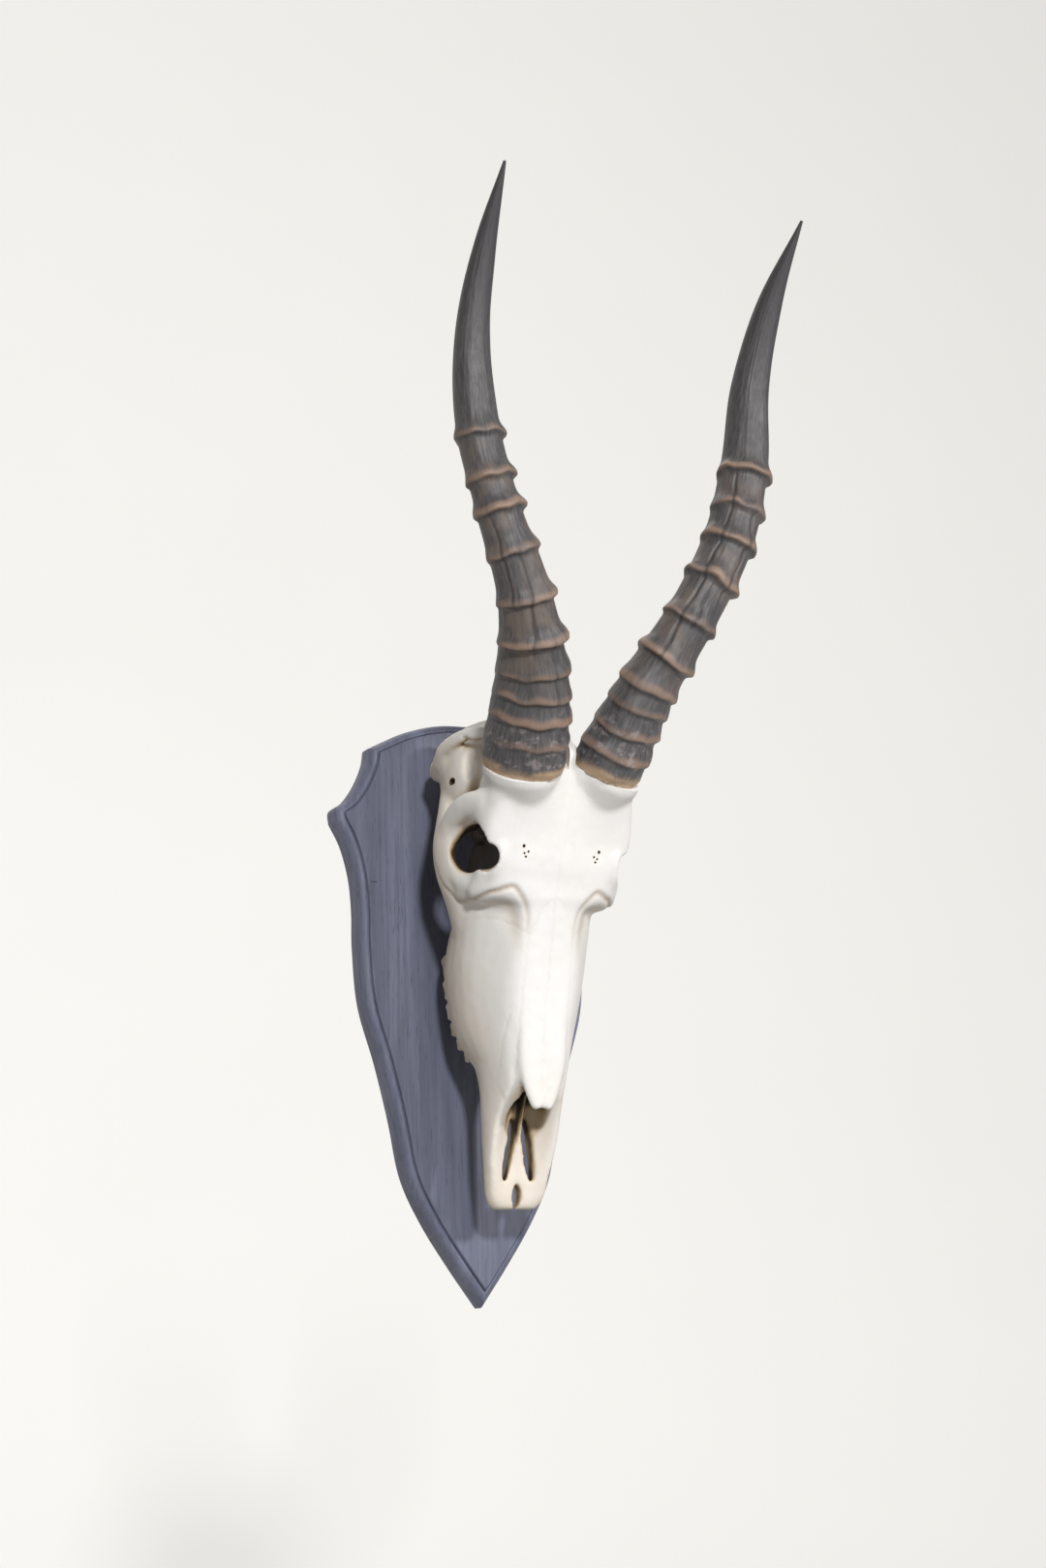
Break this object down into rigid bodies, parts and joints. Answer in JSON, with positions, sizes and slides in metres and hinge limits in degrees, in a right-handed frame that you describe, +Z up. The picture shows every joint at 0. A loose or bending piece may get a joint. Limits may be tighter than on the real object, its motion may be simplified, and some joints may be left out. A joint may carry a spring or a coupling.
{
  "type": "blesbok skull on a wall plaque",
  "caption": "Antelope skull with ringed, lyre-shaped horns, fixed face outward on a shield-shaped wooden plaque that hangs flat on a wall.",
  "frame": {"origin": "on the plaque's flat back face, on its mid-line, half way between its top and its tip", "axes": "+Y into the wall, out of the plaque's back face; +Z up the wall; +X to the right of someone who faces the skull"},
  "size_m": [0.2208, 0.2917, 0.6466],
  "materials": {
    "bone": "bleached bone, satin",
    "horn": "weathered horn sheath, ringed, satin",
    "enamel": "worn tooth enamel and dentine",
    "stained_wood": "blue-grey stain, fine open grain",
    "steel": "plain zinc-plated screw"
  },
  "bodies": {
    "root": {"skull": "bone", "horn_left": "horn", "horn_right": "horn", "plaque": "stained_wood", "fixing_screw": "steel", "tooth_left_m3": "enamel", "tooth_left_m2": "enamel", "tooth_left_m1": "enamel", "tooth_left_p4": "enamel", "tooth_left_p3": "enamel", "tooth_left_p2": "enamel", "tooth_right_m3": "enamel", "tooth_right_m2": "enamel", "tooth_right_m1": "enamel", "tooth_right_p4": "enamel", "tooth_right_p3": "enamel", "tooth_right_p2": "enamel"}
  },
  "joints": []
}
